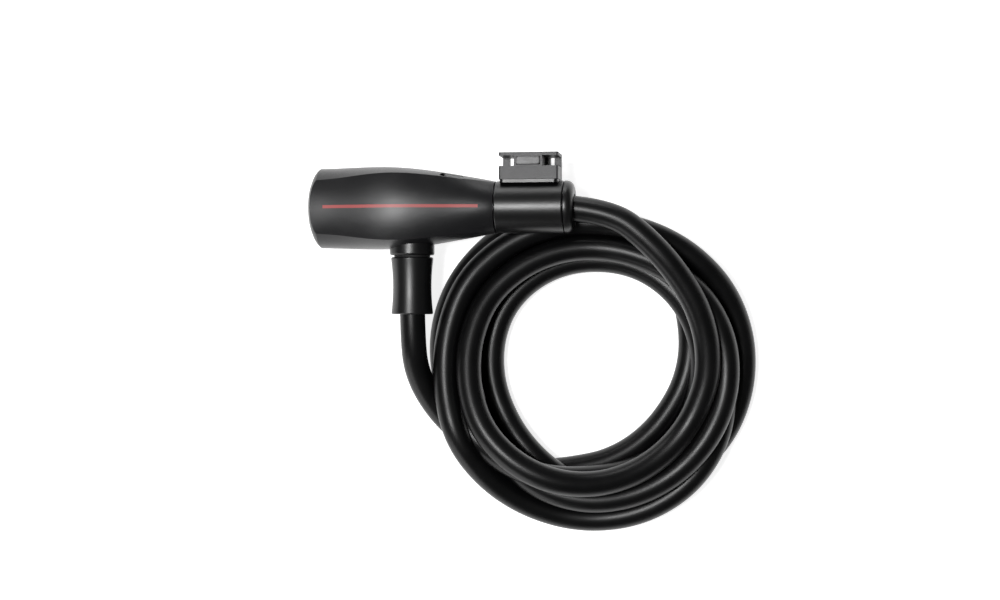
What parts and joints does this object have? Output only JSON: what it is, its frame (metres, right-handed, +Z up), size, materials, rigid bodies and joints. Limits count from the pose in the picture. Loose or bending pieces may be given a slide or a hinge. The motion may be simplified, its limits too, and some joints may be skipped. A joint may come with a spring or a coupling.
{
  "type": "cable lock",
  "caption": "Key cable lock with a soft dark head, red stripe, plug in its boss, swivelling frame bracket and a coiled black cable.",
  "frame": {"origin": "middle of the box round the head and its bracket, on the table", "axes": "+X along the head towards the cable's exit, +Y away from the plug, the way the bracket's rail faces, +Z up"},
  "size_m": [0.1801, 0.1497, 0.0384],
  "materials": {
    "jacket": "soft-touch, fine grain",
    "stripe": "satin",
    "black_plastic": "satin",
    "block_plastic": "textured nylon",
    "steel": "brushed",
    "zinc": "die-cast",
    "brass": "machined",
    "chrome": "polished",
    "spring": "drawn wire",
    "rubber": "matte",
    "cable": "glossy vinyl"
  },
  "bodies": {
    "lock": {"head_jacket": "jacket", "red_stripe": "stripe", "face_plate": "steel", "lock_core": "zinc", "cylinder_housing": "brass", "core_pin": "steel", "boss_socket": "black_plastic", "cable_ferrule": "steel", "ferrule_pin": "steel", "end_cap": "black_plastic", "slider_spring": "spring", "cable_head_end": "cable", "cable_coil": "cable", "cable_plug_end": "cable"},
    "cylinder": {"key_rotor": "brass", "wafer_set": "brass", "rotor_clip": "steel", "drive_cam": "steel"},
    "slider": {"locking_slider": "steel"},
    "plug": {"locking_bolt": "chrome", "plug_ring": "rubber", "plug_sleeve": "black_plastic", "plug_ferrule": "steel"},
    "bracket": {"mount_collar": "black_plastic", "collar_liner": "rubber", "swivel_screw": "steel"},
    "block": {"clip_block": "block_plastic", "latch_spring": "spring"},
    "latch": {"latch_tongue": "block_plastic"}
  },
  "joints": [
    {"name": "plug_slide", "type": "slide", "parent": "lock", "child": "plug", "axis": [0, -1, 0], "range_m": [0, 0.025], "deforming": ["cable_plug_end"]},
    {"name": "key_turn", "type": "hinge", "parent": "lock", "child": "cylinder", "pos_m": [-0.04871, -0.0011, 0.01376], "axis": [0.989, 0, 0.1478], "range_deg": [0, 90]},
    {"name": "slider_travel", "type": "slide", "parent": "lock", "child": "slider", "axis": [-0.1478, 0, 0.989], "range_m": [0, 0.003], "deforming": ["slider_spring"]},
    {"name": "bracket_turn", "type": "hinge", "parent": "lock", "child": "bracket", "pos_m": [0.03456, -0.0011, 0.02621], "axis": [0.989, 0, 0.1478], "range_deg": [0, 100]},
    {"name": "block_swivel", "type": "hinge", "parent": "bracket", "child": "block", "pos_m": [0.03456, 0.0094, 0.02621], "axis": [0, 1, 0], "range_deg": [0, 90]},
    {"name": "latch_press", "type": "slide", "parent": "block", "child": "latch", "axis": [0.1478, 0, -0.989], "range_m": [0, 0.0015], "stiffness_N_per_m": 800, "deforming": ["latch_spring"]}
  ],
  "couplings": [
    {"joint": "slider_travel", "follows": "key_turn", "m_per_rad": 0.0019099}
  ]
}
